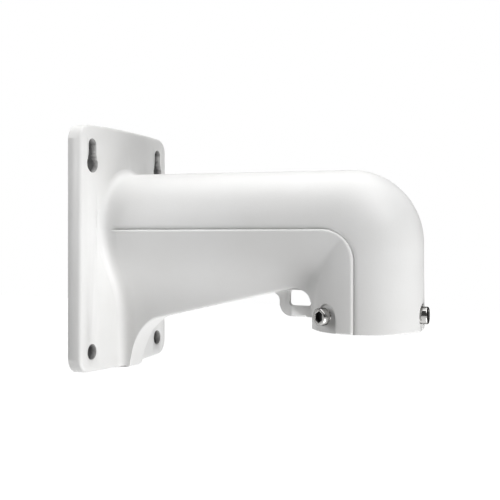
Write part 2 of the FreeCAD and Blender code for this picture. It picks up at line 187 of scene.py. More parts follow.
@dataclass(frozen=True)
class PowderCoat:
    """Satin white powder coat on a casting: orange peel, fine grain and a slow drift of tone."""

    name: str = "white_powder_coat"
    light_tone: Tone = (0.83, 0.83, 0.825, 1.0)
    deep_tone: Tone = (0.775, 0.772, 0.76, 1.0)
    tone_places: tuple[float, float] = (0.25, 0.72)
    drift_scale: float = 14.0
    sheen_scale: float = 90.0
    peel_scale: float = 520.0
    peel_depth: float = 0.00012
    grain_scale: float = 2600.0
    grain_depth: float = 0.00004
    rough_low: float = 0.36
    rough_high: float = 0.48

    def build(self) -> bpy.types.Material:
        """Make the coat's node material.

        Returns:
            The material, with colour, roughness and bump driven by noise on Object coordinates.
        """
        graph = NodeGraph(self.name)
        shader = graph.add("ShaderNodeBsdfPrincipled", in_IOR=1.5)
        drift = graph.noise(self.drift_scale, 5.0, 0.55)
        graph.two_tone(shader, drift, (self.deep_tone, self.light_tone), self.tone_places)
        rough = graph.spread(graph.noise(self.sheen_scale, 4.0), self.rough_low, self.rough_high)
        graph.link(rough, shader.inputs["Roughness"])
        peel = (self.peel_scale, 2.0, 0.5, 0.35, self.peel_depth)
        grain = (self.grain_scale, 3.0, 0.6, 0.3, self.grain_depth)
        graph.relief(shader, peel, grain)
        return graph.finish(shader)


@dataclass(frozen=True)
class ScrewSteel:
    """Bright turned steel with fine turning marks and slight handling smears; its rims carry a painted dark
    reflection.
    """

    name: str = "bright_screw_steel"
    tone: Tone = (0.47, 0.465, 0.455, 1.0)
    deepest: float = 0.82
    # Painted dark reflection: near-black edge tint darkens the screws' rims.
    dark_rim_reflection: Tone = (0.05, 0.05, 0.05, 1.0)
    stain_scale: float = 420.0
    smear_scale: float = 260.0
    mark_scale: float = 3600.0
    mark_depth: float = 0.00003
    rough_low: float = 0.10
    rough_high: float = 0.22

    def build(self) -> bpy.types.Material:
        """Make the steel's node material.

        Returns:
            The material, metallic, with roughness and bump driven by noise on Object coordinates.
        """
        graph = NodeGraph(self.name)
        # Its edge tint paints a dark reflection round the rims.
        shader = graph.add("ShaderNodeBsdfPrincipled", in_Metallic=1.0, in_Specular_Tint=self.dark_rim_reflection)
        deep = tuple(self.deepest * c for c in self.tone[:3]) + (1.0,)
        graph.two_tone(shader, graph.noise(self.stain_scale, 4.0), (deep, self.tone))
        rough = graph.spread(graph.noise(self.smear_scale, 5.0), self.rough_low, self.rough_high)
        graph.link(rough, shader.inputs["Roughness"])
        graph.relief(shader, (self.mark_scale, 3.0, 0.5, 0.25, self.mark_depth))
        return graph.finish(shader)


@dataclass(frozen=True)
class PaintedShadeMetal:
    """Dull uneven metal used as painted shade: the darkened walls of drilled holes, or the near-black inside of a
    socket.
    """

    name: str
    light_tone: Tone
    deep_tone: Tone
    patch_scale: float
    # A hole's middle and lip along X, between which the tone is painted darker towards the middle, as shade.
    shade_mouth: tuple[float, float] | None = None
    roughness: float = 0.62
    rough_swing: float = 0.1
    wear_scale: float = 700.0
    mark_scale: float = 2400.0
    mark_depth: float = 0.00005

    def build(self) -> bpy.types.Material:
        """Make the painted-shade metal's node material.

        With a shade mouth given, the tone also rises with the distance from its first place along X, up to
        its second place, so a hole is painted darkest at its middle, as painted shade.

        Returns:
            The material, with patchy colour, roughness and bump from noise on Object coordinates.
        """
        graph = NodeGraph(self.name)
        shader = graph.add("ShaderNodeBsdfPrincipled", in_IOR=1.45)
        patches = graph.noise(self.patch_scale, 4.0, 0.6)
        if self.shade_mouth:
            patches = self.painted_hole_shade(graph, patches, *self.shade_mouth)
        graph.two_tone(shader, patches, (self.deep_tone, self.light_tone))
        low, high = self.roughness - self.rough_swing, self.roughness + self.rough_swing
        graph.link(graph.spread(graph.noise(self.wear_scale, 3.0), low, high), shader.inputs["Roughness"])
        graph.relief(shader, (self.mark_scale, 3.0, 0.5, 0.4, self.mark_depth))
        return graph.finish(shader)

    def painted_hole_shade(
        self, graph: NodeGraph, patches: bpy.types.NodeSocket, middle: float, lip: float
    ) -> bpy.types.NodeSocket:
        """Add the patches to a grey value that rises from a hole's middle to its lip, which paints shade inside the
        hole.

        Args:
            graph: the material's nodes.
            patches: the patches' grey value.
            middle: the hole's middle along X, in metres.
            lip: the hole's lip along X, in metres.

        Returns:
            The sum's socket.
        """
        place = graph.add("ShaderNodeTexCoord")
        split = graph.add("ShaderNodeSeparateXYZ")
        graph.link(place.outputs["Object"], split.inputs["Vector"])
        shifted = graph.add("ShaderNodeMath", operation="SUBTRACT")
        shifted.inputs[1].default_value = middle
        off = graph.add("ShaderNodeMath", operation="ABSOLUTE")
        graph.link(split.outputs["X"], shifted.inputs[0])
        graph.link(shifted.outputs[0], off.inputs[0])
        both = graph.add("ShaderNodeMath", operation="ADD")
        graph.link(graph.spread(off.outputs[0], 0.15, 0.85, 0.0, lip - middle), both.inputs[0])
        graph.link(graph.spread(patches, -0.15, 0.15), both.inputs[1])
        return both.outputs[0]


@dataclass(frozen=True)
class PaleFloor:
    """Plain pale matt floor."""

    name: str = "pale_floor"
    tone: Tone = (0.9, 0.9, 0.9, 1.0)
    glow: float = 1.0

    def build(self) -> bpy.types.Material:
        """Make the floor's material."""
        graph = NodeGraph(self.name)
        shader = graph.add("ShaderNodeBsdfPrincipled", in_Base_Color=self.tone, in_Roughness=0.9)
        shader.inputs["Emission Color"].default_value = WHITE
        shader.inputs["Emission Strength"].default_value = self.glow
        return graph.finish(shader)


def new_piece(name: str, points: np.ndarray, faces: np.ndarray) -> bpy.types.Object:
    """Put an array of points and faces into a new object at the origin.

    Args:
        name: the piece's name.
        points: (n, 3) array of places in metres.
        faces: (m, 3) or (m, 4) array of vertex numbers, outward side anticlockwise.

    Returns:
        The linked object.
    """
    mesh = bpy.data.meshes.new(name)
    mesh.from_pydata(points.tolist(), [], faces.tolist())
    mesh.update()
    piece = bpy.data.objects.new(name, mesh)
    bpy.context.scene.collection.objects.link(piece)
    return piece


def weld(piece: bpy.types.Object, distance: float) -> None:
    """Merge points nearer than a distance, drop flat faces and turn all faces outwards.

    Args:
        piece: the object whose mesh is mended.
        distance: largest gap between points that become one, in metres.
    """
    work = bmesh.new()
    work.from_mesh(piece.data)
    bmesh.ops.remove_doubles(work, verts=work.verts, dist=distance)
    bmesh.ops.dissolve_degenerate(work, edges=work.edges, dist=distance)
    bmesh.ops.recalc_face_normals(work, faces=work.faces)
    work.to_mesh(piece.data)
    work.free()


def smooth(piece: bpy.types.Object, angle: float) -> None:
    """Shade smooth, with edges sharper than an angle in degrees kept crisp."""
    piece.data.shade_smooth()
    piece.data.set_sharp_from_angle(angle=math.radians(angle))


def grid_faces(rows: int, columns: int, closed: bool = False) -> np.ndarray:
    """Quads of a grid; vertex (i, j) has the number i * columns + j.

    Args:
        rows: number of rows.
        columns: points in each row.
        closed: whether each row's last point joins its first.

    Returns:
        (m, 4) array of vertex numbers.
    """
    i, j = np.meshgrid(np.arange(rows - 1), np.arange(columns - 1 + closed), indexing="ij")
    after = (j + 1) % columns
    quads = np.stack([i * columns + j, i * columns + after, (i + 1) * columns + after, (i + 1) * columns + j], -1)
    return quads.reshape(-1, 4)


def lengths(points: np.ndarray) -> np.ndarray:
    """Length along a polyline from its start to each of its points."""
    return np.concatenate([[0.0], np.cumsum(np.linalg.norm(np.diff(points, axis=0), axis=1))])


@dataclass(frozen=True)
class Shape:
    """Sizes and surface formulas of the arm, elbow, cup and flanks, in millimetres."""

    plate_front: float = 11.2
    root: float = 6.5
    half: float = 37.4
    top_at_wall: float = 57.0
    top_fall: float = 0.009
    line_z: float = 13.8
    line_radius: float = 21.3
    elbow_x: float = 182.8
    outer_radius: float = 50.5
    cup_x: float = 204.1
    cup_out: float = 242.4
    draft: float = 0.012
    bottom: float = -55.5
    edge_radius: float = 36.6
    valley: float = 15.0
    proud: float = 0.9
    proud_from: float = 18.5
    proud_run: float = 7.0
    groove: float = 1.5
    groove_run: float = 3.5
    groove_from: float = 20.5
    groove_fade: float = 2.5
    lap: float = 1.0
    flank_z: tuple[float, ...] = (-96.0, -76.0, -60.0, -48.0, -35.0, -22.0, -10.0, 0.0, 8.0, 13.8)
    flank_y: tuple[float, ...] = (9.4, 9.7, 10.3, 11.8, 15.6, 22.4, 30.0, 34.6, 36.7, 37.4)

    @property
    def elbow_z(self) -> float:
        """Height of the elbow's centre."""
        return self.line_z - self.line_radius

    def flare(self, x: np.ndarray) -> np.ndarray:
        """Extra width at the root: a quarter circle that is tangent to the plate and to the arm."""
        gap = np.clip(x - self.plate_front, 0.0, self.root)
        return self.root - np.sqrt(self.root**2 - (self.root - gap) ** 2)

    def ease(self, value: np.ndarray) -> np.ndarray:
        """Smooth step from 0 to 1: three times the square less twice the cube."""
        t = np.clip(value, 0.0, 1.0)
        return t * t * (3.0 - 2.0 * t)

    def width(self, z: np.ndarray) -> np.ndarray:
        """Half-width of the plain flank at a height: a natural cubic spline through the table.

        Args:
            z: heights.

        Returns:
            Half-widths.
        """
        xs = np.array(self.flank_z)
        ys = np.array(self.flank_y)
        step = np.diff(xs)
        slope = np.diff(ys) / step
        count = len(xs)
        matrix = np.eye(count)
        right = np.zeros(count)
        inner = np.arange(1, count - 1)
        matrix[inner, inner - 1] = step[:-1]
        matrix[inner, inner] = 2.0 * (step[:-1] + step[1:])
        matrix[inner, inner + 1] = step[1:]
        right[inner] = 6.0 * np.diff(slope)
        bend = np.linalg.solve(matrix, right)
        low = np.clip(np.searchsorted(xs, z, side="right") - 1, 0, count - 2)
        a = (xs[low + 1] - z) / step[low]
        b = 1.0 - a
        curve = ((a**3 - a) * bend[low] + (b**3 - b) * bend[low + 1]) * step[low] ** 2 / 6.0
        return a * ys[low] + b * ys[low + 1] + curve

    def edge_draw(self, z: np.ndarray, radius: np.ndarray) -> np.ndarray:
        """How far the cup draws in near its bottom: a quarter round down to the edge radius."""
        size = np.maximum(radius - self.edge_radius, 0.01)
        rise = np.clip(self.bottom + size - z, 0.0, size)
        return size - np.sqrt(size**2 - rise**2)

    def flank(self, x: np.ndarray, z: np.ndarray, proud: np.ndarray) -> np.ndarray:
        """Half-width of the lower arm over the plane Y = 0.

        It is the plain flank's width plus the root flare, then a concave arc (the valley), then the
        cup's circle, each tangent to the next, all raised by how proud the side panel stands.

        Args:
            x: places along the arm.
            z: heights.
            proud: how far the surface stands out.

        Returns:
            Distances from the plane Y = 0.
        """
        side = self.width(z) + proud
        round_r = self.half + proud
        round_r = round_r - self.edge_draw(z, round_r)
        valley = self.valley - proud
        reach = np.sqrt(np.maximum((round_r + valley) ** 2 - (side + valley) ** 2, 0.0))
        start = self.cup_x - reach
        turn = self.cup_x - round_r * reach / (round_r + valley)
        dip = np.sqrt(np.maximum(valley**2 - np.clip(x - start, 0.0, valley) ** 2, 0.0))
        hollow = side + valley - dip
        circle = np.sqrt(np.maximum(round_r**2 - (x - self.cup_x) ** 2, 0.0))
        return np.where(x < start, side + self.flare(x), np.where(x < turn, hollow, circle))

    def stand(self, x: np.ndarray) -> np.ndarray:
        """How proud the side panel stands: it rises out of the root flare."""
        return self.proud * self.ease((x - self.proud_from) / self.proud_run)


def curve_through(points: np.ndarray, count: int) -> np.ndarray:
    """Even points on a Catmull-Rom curve through given points, with its ends held straight.

    Args:
        points: (n, 2) places to pass through.
        count: number of points wanted.

    Returns:
        (count, 2) array, evenly spaced along the curve.
    """
    ends = np.vstack([2 * points[0] - points[1], points, 2 * points[-1] - points[-2]])
    spans = len(points) - 1
    t = np.linspace(0.0, spans, 40 * spans + 1)
    i = np.minimum(t.astype(int), spans - 1)
    u = (t - i)[:, None]
    a, b, c, d = ends[i], ends[i + 1], ends[i + 2], ends[i + 3]
    fine = 0.5 * (2 * b + (c - a) * u + (2 * a - 5 * b + 4 * c - d) * u**2 + (3 * b - a - 3 * c + d) * u**3)
    return resample(fine, count)


def resample(points: np.ndarray, count: int) -> np.ndarray:
    """Even points along a polyline.

    Args:
        points: (n, k) polyline.
        count: number of points wanted.

    Returns:
        (count, k) array, evenly spaced by length.
    """
    length = lengths(points)
    places = np.linspace(0.0, length[-1], count)
    return np.stack([np.interp(places, length, points[:, k]) for k in range(points.shape[1])], -1)


@dataclass
class CrownSkin:
    """Outer face of the half tube, the elbow and the cup's front, with the groove by the moulded line."""

    shape: Shape
    across: int = 112
    name: str = "crown_skin"

    def path(self) -> tuple[np.ndarray, ...]:
        """Sections along the arm, each given by where its flat base lies and how far it reaches.

        Straight arm: base at the moulded line less the lap, reaching up. Elbow: rays from its centre.
        Cup: base at the cup's axis less the lap, reaching out to the front, with the draft.

        Returns:
            Base x, base z, direction x, direction z, reach, half-width, and place along the arm.
        """
        s = self.shape
        bend = np.radians(np.linspace(0.0, 90.0, 13))
        root = s.plate_front + s.root * (1.0 - np.cos(bend))
        x = np.concatenate([[7.0, 9.5], root, np.linspace(root[-1] + 1.2, s.elbow_x, 96)[:-1]])
        extra = s.flare(x)
        base_z = np.full_like(x, s.line_z - s.lap)
        straight = [x, base_z, 0 * x, 1 + 0 * x, s.top_at_wall - s.top_fall * x + extra - base_z, s.half + extra]
        angle = np.radians(np.linspace(90.0, 0.0, 49))
        dx, dz = np.cos(angle), np.sin(angle)
        top = s.top_at_wall - s.top_fall * s.elbow_x
        inner = s.line_radius - s.lap
        ox = s.elbow_x - (s.cup_out - s.outer_radius)
        oz = s.elbow_z - (top - s.outer_radius)
        b = ox * dx + oz * dz
        far = -b + np.sqrt(b * b - (ox * ox + oz * oz - s.outer_radius**2))
        far = np.where(ox + far * dx < 0.0, (top - s.elbow_z) / np.maximum(dz, 1e-6), far)
        far = np.where(oz + far * dz < 0.0, (s.cup_out - s.elbow_x) / np.maximum(dx, 1e-6), far)
        elbow = [s.elbow_x + inner * dx, s.elbow_z + inner * dz, dx, dz, far - inner, s.half + 0 * dx]
        z = np.concatenate([np.linspace(s.elbow_z - 1.5, s.bottom + 2.6, 30), s.bottom + 2.4 * (1 - np.sin(bend))])
        base_x = np.full_like(z, s.cup_x - s.lap)
        reach = s.cup_out + s.draft * (s.elbow_z - z) - base_x
        cup = [base_x, z, 1 + 0 * z, 0 * z, reach, s.half + 0 * z]
        parts = [np.concatenate(group) for group in zip(straight, elbow, cup)]
        return (*parts, parts[0])

    def points(self) -> np.ndarray:
        """The surface as a function of section and turn.

        A section is half an ellipse of its half-width and reach. Near both its ends it sinks by the
        groove's depth times the square of (1 - distance from the moulded line / groove's run). Near
        the cup's bottom it draws in by a quarter round.

        Returns:
            (sections, across, 3) array in millimetres.
        """
        s = self.shape
        bx, bz, dx, dz, reach, half, along = (v[:, None] for v in self.path())
        edge = np.linspace(0.0, 1.0, self.across // 2)
        turn = 0.5 * math.pi * (0.35 * edge + 0.65 * edge**1.8)
        turn = np.concatenate([turn, math.pi - turn[::-1][1:]])[None, :]
        y = half * np.cos(turn)
        up = reach * np.sin(turn)
        away = np.clip((up - s.lap) / s.groove_run, 0.0, 1.0)
        fade = s.ease((along - s.groove_from) / s.groove_fade)
        sink = s.groove * fade * (1.0 - away) ** 2 + 0.15 * np.clip(s.lap - up, 0.0, 1.0)
        y = y - np.sign(y) * sink
        x = bx + up * dx + 0 * y
        z = bz + up * dz + 0 * y
        radius = np.hypot(x - s.cup_x, y)
        cup = (dz < 0.001) & (z < s.elbow_z - 1.0)
        pull = np.where(cup, s.edge_draw(z, radius), 0.0) / np.maximum(radius, 1.0)
        x = x - pull * (x - s.cup_x)
        y = y - pull * y
        return np.stack([x, y, z], -1)


@dataclass
class FlankSkin:
    """Outer face of the lower arm: both side panels with their raised edge, underside and gusset."""

    shape: Shape
    gusset: tuple[tuple[float, float], ...] = (
        (54.0, -50.4),
        (40.0, -54.6),
        (29.0, -64.5),
        (22.4, -77.5),
    )
    foot: tuple[tuple[float, float], ...] = ((7.0, -91.47), (18.9, -91.47))
    marks: tuple[float, ...] = (0.0, 11.9, 47.0, 143.0)
    wall_after: float = 12.0
    under_end: tuple[float, float] = (150.0, -28.0)
    wall_x: float = 168.3
    corner: float = 10.0
    bead: float = 1.75
    bead_drop: float = 3.0
    edge: float = 2.2
    band: float = 3.2
    name: str = "flank_skin"

    def top_line(self) -> tuple[np.ndarray, np.ndarray]:
        """The moulded line over the plane Y = 0: straight, round the elbow, then down the cup.

        Returns:
            (n, 2) places and (n, 2) unit directions into the panel.
        """
        s = self.shape
        start = np.concatenate([[7.0, 9.5], np.linspace(11.2, 28.0, 24), np.linspace(29.0, 182.8, 140)])
        straight = np.stack([start, np.full_like(start, s.line_z)], -1)
        angle = np.radians(np.linspace(90.0, 0.0, 41))[1:]
        out = np.stack([np.cos(angle), np.sin(angle)], -1)
        arc = np.array([s.elbow_x, s.elbow_z]) + s.line_radius * out
        z = np.concatenate([np.linspace(s.elbow_z, s.bottom + 2.5, 44)[1:], s.bottom + np.linspace(2.2, 0.0, 8)])
        down = np.stack([np.full_like(z, s.cup_x), z], -1)
        inward = np.concatenate([np.tile([0.0, -1.0], (len(start), 1)), -out, np.tile([-1.0, 0.0], (len(z), 1))])
        return np.concatenate([straight, arc, down]), inward

    def low_line(self, top: np.ndarray) -> np.ndarray:
        """The lower outline: foot, gusset, underside, corner and the cup's back wall.

        Args:
            top: the moulded line's places, each of which is joined to one place below.

        Returns:
            (n, 2) places, one for each place of the moulded line.
        """
        s = self.shape
        sweep = curve_through(np.array([*self.gusset, self.foot[1]])[::-1], 60)
        under = np.array([self.gusset[0], self.under_end])
        r = self.corner
        x0, z0 = self.wall_x, self.under_end[1]
        round_in = curve_through(
            np.array([self.under_end, (x0 - r, z0 + 1.0), (x0 - 0.3 * r, z0 - 0.27 * r), (x0, z0 - r + 1.0)]), 30
        )
        wall = np.array([(x0, z0 - r + 1.0), (x0, s.bottom)])
        length = lengths(top)
        bottom_from = length[-1] - (s.elbow_z - s.bottom)
        marks = [*self.marks, bottom_from + self.wall_after, length[-1]]
        runs = [np.array(self.foot), sweep, under, round_in, wall]
        result = np.zeros_like(top)
        for run, first, last in zip(runs, marks[:-1], marks[1:]):
            own = lengths(run)
            place = (length - first) / (last - first) * own[-1]
            inside = (length >= first - 1e-9) & (length <= last + 1e-9)
            for k in range(2):
                result[inside, k] = np.interp(place[inside], own, run[:, k])
        return result

    def points(self) -> np.ndarray:
        """The surface as a function of place along the moulded line and place down and across.

        A column starts inside the arm, comes out and over the rounded raised edge, crosses a band
        square to the moulded line, runs straight to the lower outline, turns the rounded edge as a
        quadratic curve, and crosses the underside. The far side is its mirror image.

        Returns:
            (columns, steps, 3) array in millimetres.
        """
        s = self.shape
        top, inward = self.top_line()
        low = self.low_line(top)
        lift = s.stand(top[:, 0])[:, None]
        bend = np.linspace(0.0, 1.0, 8)[None, :]
        crown = self.bead * lift / s.proud + 0.02
        drop = self.bead_drop * lift / s.proud + 0.15

        def over(place: np.ndarray) -> np.ndarray:
            """Half-width with the panel's stand at each place of an (n, m, 2) array."""
            return s.flank(place[..., 0], place[..., 1], s.stand(place[..., 0]))

        flat = top[:, None, :] + inward[:, None, :] * crown[..., None]
        edge_y = over(top[:, None, :])
        crest_y = over(flat)
        tuck = np.concatenate([edge_y - drop, edge_y - drop * 0.5], 1)
        tuck_place = np.repeat(top[:, None, :], 2, 1)
        curl = top[:, None, :] + inward[:, None, :] * (crown * (1.0 - np.cos(bend * math.pi / 2)))[..., None]
        curl_y = edge_y - crown + crown * np.sin(bend * math.pi / 2)
        curl_y = curl_y + (crest_y - edge_y) * (1.0 - np.cos(bend * math.pi / 2))
        run = np.linspace(0.0, 1.0, 5)[None, 1:]
        band = flat + inward[:, None, :] * (self.band * run)[..., None]
        start = band[:, -1:, :]
        gap = low[:, None, :] - start
        size = np.linalg.norm(gap, axis=-1)
        stop = 1.0 - np.minimum(self.edge / size, 0.5)
        steps = np.linspace(0.0, 1.0, 57)[None, 1:]
        face = start + gap * (steps * stop)[..., None]
        place = np.concatenate([tuck_place, curl, band, face], 1)
        y = np.concatenate([tuck, curl_y, over(band), over(face)], 1)
        last, last_y = place[:, -1, :], y[:, -1]
        corner_y = s.flank(low[:, 0], low[:, 1], s.stand(low[:, 0]))
        u = np.linspace(0.0, 1.0, 9)[1:][None, :]
        cut = np.minimum(self.edge, 0.6 * corner_y)
        weights = ((1 - u) ** 2, 2 * u * (1 - u), u**2)
        turn = weights[0][..., None] * last[:, None] + (weights[1] + weights[2])[..., None] * low[:, None]
        turn_y = weights[0] * last_y[:, None] + weights[1] * corner_y[:, None] + weights[2] * (corner_y - cut)[:, None]
        inside = np.linspace(1.0, 0.0, 10)[None, 1:]
        cross = np.repeat(low[:, None, :], inside.shape[1], 1)
        cross_y = (corner_y - cut)[:, None] * inside
        place = np.concatenate([place, turn, cross], 1)
        y = np.concatenate([y, turn_y, cross_y], 1)
        place = np.concatenate([place, place[:, -2::-1]], 1)
        y = np.concatenate([y, -y[:, -2::-1]], 1)
        return np.stack([place[..., 0], -y, place[..., 1]], -1)


@dataclass
class Seat:
    """One screw seat: its place on the cup's axis and its own axes out, sideways and up."""

    angle: float
    cup_x: float = 204.1
    height: float = -44.3

    def __post_init__(self) -> None:
        """Work out the axes, and which side runs out towards the arm: 1, -1, or 0 for neither."""
        a = math.radians(self.angle)
        self.out = np.array([math.cos(a), math.sin(a), 0.0])
        self.side = np.array([-math.sin(a), math.cos(a), 0.0])
        self.up = np.array([0.0, 0.0, 1.0])
        self.centre = np.array([self.cup_x, 0.0, self.height]) / MM
        self.run = float(np.sign(self.out[1]))

    def local(self, places: np.ndarray) -> tuple[np.ndarray, np.ndarray, np.ndarray]:
        """Outward, sideways and upward millimetres of (..., 3) places in metres."""
        spots = (places - self.centre) * MM
        return spots @ self.out, spots @ self.side, spots[..., 2]


@dataclass
class SeatCutter:
    """Trims the cup's skin where the three screw seats are cut into it, and rounds their edges.

    Sizes are in millimetres. A point counts as on a cut when it is nearer than "on_round" to its arc,
    "on_edge" to its straight edges and "on_plane" to the plane of the seat's back.
    """

    seats: tuple[Seat, ...] = (Seat(0.0), Seat(121.5), Seat(238.5))
    seat_at: float = 36.6
    cad_seat_at: float = 34.8
    radius: float = 8.1
    lip: float = 0.55
    lip_steps: int = 4
    bottom: float = -55.5
    bottom_lap: float = 2.6
    heart: float = -2.0
    side_run: float = 24.0
    lowest: float = -12.0
    nearest: float = 30.0
    farthest: float = 42.0
    near_side: float = 28.0
    near_top: float = 12.0
    facets: int = 18
    on_round: float = 0.05
    on_edge: float = 0.04
    on_plane: float = 0.005
    slack: float = 0.01
    outlines: list[np.ndarray] = field(default_factory=list)

    def trim(self, piece: bpy.types.Object) -> None:
        """Cut the piece along each seat's outline and delete what lies over the seat.

        The outline is a half circle over two upright sides, and the two rear seats also run out
        towards the arm. Every straight piece of it is one plane cut through the faces nearby.

        Args:
            piece: the skin, in metres.
        """
        work = bmesh.new()
        work.from_mesh(piece.data)
        wide = self.radius + self.lip
        turns = np.linspace(0.0, math.pi, self.facets + 1)[:, None]
        for seat in self.seats:
            around = seat.side * np.cos(turns) + seat.up * np.sin(turns)
            cuts = [(seat.centre + seat.out * self.seat_at / MM, seat.out)]
            cuts += [(seat.centre + direction * wide / MM, direction) for direction in around]
            if seat.run:
                cuts.append((seat.centre + seat.up * self.lip / MM, seat.up))
            n, t, z = seat.local(self.middles(work.faces))
            close = (z < self.near_top) & (n > self.nearest) & (np.abs(t) < self.near_side)
            near = [f for f, chosen in zip(work.faces, close) if chosen]
            for place, normal in cuts:
                edges = dict.fromkeys(e for f in near for e in f.edges)
                verts = dict.fromkeys(v for f in near for v in f.verts)
                result = bmesh.ops.bisect_plane(
                    work, geom=[*near, *edges, *verts], dist=1e-7, plane_co=place.tolist(), plane_no=normal.tolist()
                )
                near = [g for g in result["geom"] if isinstance(g, bmesh.types.BMFace)]
            middles = self.middles(near)
            n, t, z = seat.local(middles)
            arch = MM * np.max((middles - seat.centre) @ around.T, axis=1, initial=-1.0) < wide
            side_way = (z < self.lip) & (t * seat.run > 0.0) & (t * seat.run < self.side_run)
            over = (n > self.seat_at - 0.001) & (arch | side_way)
            bmesh.ops.delete(work, geom=[f for f, chosen in zip(near, over) if chosen], context="FACES")
            self.line(work, seat)
        self.close_bottom(work)
        work.to_mesh(piece.data)
        work.free()

    def middles(self, faces: list[bmesh.types.BMFace]) -> np.ndarray:
        """The faces' middles as an (n, 3) array in metres."""
        return np.array([f.calc_center_median() for f in faces]).reshape(-1, 3)

    def line(self, work: bmesh.types.BMesh, seat: Seat) -> None:
        """Round the cut's edge, wall it down to the seat's back, and note the back's outline.

        From the cut a quarter round of the lip's size leads to the wall at the seat's own outline.

        Args:
            work: the skin's mesh.
            seat: the seat.
        """
        n, t, z = seat.local(np.array([v.co for v in work.verts]))
        wide = self.radius + self.lip
        from_axis = np.hypot(t, z)
        ahead = t * seat.run
        low = np.where(ahead > 0.0, self.lip, 0.0)
        arch = (z > low - self.slack) & (np.abs(from_axis - wide) < self.on_round)
        upright = (z < self.slack) & (np.abs(np.abs(t) - wide) < self.on_edge) & (ahead <= 0.0)
        roof = (np.abs(z - self.lip) < self.on_edge) & (ahead > wide - 0.1) & (ahead < self.side_run)
        corner = roof & (ahead < wide)
        deep = (n > self.seat_at - self.slack) & (n < self.farthest)
        on_cut = (arch | upright | roof) & deep
        on_back = (np.abs(n - self.seat_at) < self.on_plane) & (np.abs(t) < self.side_run)
        on_back &= (z < wide) & (z > self.lowest)
        shrink = self.radius / np.maximum(from_axis, 0.1) - 1.0
        move_t = np.where(upright, np.sign(t) * self.radius - t, t * shrink)
        move_z = np.where(upright, 0.0, z * shrink)
        move_t = np.where(roof, 0.0, move_t) + np.where(corner, seat.run * self.radius - t, 0.0)
        move_z = np.where(roof, -self.lip, move_z)
        inward = work.verts.layers.float_vector.new("inward")
        drop = work.verts.layers.float.new("drop")
        work.verts.ensure_lookup_table()
        for i in np.flatnonzero(on_cut):
            work.verts[i][inward] = (move_t[i] * seat.side + np.array([0.0, 0.0, move_z[i]])) / MM
            work.verts[i][drop] = min(self.lip, max(n[i] - self.seat_at, 0.0)) / MM
        free = [e for e in work.edges if e.is_boundary]
        rim = [e for e in free if on_cut[e.verts[0].index] and on_cut[e.verts[1].index]]
        back = [e for e in free if on_back[e.verts[0].index] and on_back[e.verts[1].index] and e not in rim]
        outward = Vector(seat.out)
        bend = np.radians(np.linspace(0.0, 90.0, self.lip_steps + 1))
        for first, last in zip(bend[:-1], bend[1:]):
            rim, verts = self.grow(work, rim)
            for v in verts:
                v.co += v[inward] * float(np.sin(last) - np.sin(first))
                v.co -= outward * v[drop] * float(np.cos(first) - np.cos(last))
        rim, verts = self.grow(work, rim)
        for v in verts:
            v.co -= outward * ((v.co - Vector(seat.centre)).dot(outward) - self.seat_at / MM)
        self.note_back(seat, np.array([[v.co for v in e.verts] for e in rim + back]).reshape(-1, 2, 3))
        work.verts.layers.float_vector.remove(inward)
        work.verts.layers.float.remove(work.verts.layers.float["drop"])

    def note_back(self, seat: Seat, ends: np.ndarray) -> None:
        """Keep the triangles of a seat's flat back, each from one outline edge to the back's middle.

        At the two rear seats the skin's bottom edge just touches the back's plane, so that one piece
        of the outline is missing there. It is added, with the strip under it.

        Args:
            seat: the seat.
            ends: (n, 2, 3) ends of the outline's edges, in metres.
        """
        feet = ends.reshape(-1, 3)
        feet = feet[np.abs(feet[:, 2] - self.bottom / MM) < 5e-6]
        across = (feet - seat.centre) @ seat.side
        if seat.run and len(feet):
            left = feet[across == across[across <= 0.0].max()][0]
            right = feet[across == across[across > 0.0].min()][0]
            ends = np.concatenate([ends, [[left, right]]])
            inner = np.array([left, right]) - seat.out * (self.bottom_lap / MM)
            self.outlines.append(np.array([[inner[0], inner[1], right], [inner[0], right, left]]))
        heart = seat.centre + seat.out * (self.seat_at / MM) + np.array([0.0, 0.0, self.heart / MM])
        fan = np.concatenate([ends, np.broadcast_to(heart, (len(ends), 1, 3))], axis=1)
        wrong = np.cross(fan[:, 1] - fan[:, 0], fan[:, 2] - fan[:, 0]) @ seat.out < 0.0
        fan[wrong] = fan[wrong][:, ::-1]
        self.outlines.append(fan)

    def close_bottom(self, work: bmesh.types.BMesh) -> None:
        """Lead the skin's bottom edge inwards, under the seats, to where the CAD casting's floor begins."""
        level = self.bottom / MM
        free = [e for e in work.edges if e.is_boundary and all(abs(v.co.z - level) < 2e-5 for v in e.verts)]
        _, verts = self.grow(work, free)
        axis = Vector((self.seats[0].cup_x / MM, 0.0, level))
        for v in verts:
            spoke = v.co - axis
            v.co -= spoke * (self.bottom_lap / MM / max(spoke.length, 0.001))
            v.co.z += 5e-6

    def grow(
        self, work: bmesh.types.BMesh, edges: list[bmesh.types.BMEdge]
    ) -> tuple[list[bmesh.types.BMEdge], list[bmesh.types.BMVert]]:
        """Draw a strip of faces out of free edges.

        Args:
            work: the mesh.
            edges: the free edges.

        Returns:
            The strip's new free edges and its new vertices, still at their old places.
        """
        made = bmesh.ops.extrude_edge_only(work, edges=edges)["geom"]
        verts = [g for g in made if isinstance(g, bmesh.types.BMVert)]
        fresh = set(verts)
        rims = [g for g in made if isinstance(g, bmesh.types.BMEdge) and fresh.issuperset(g.verts)]
        return rims, verts


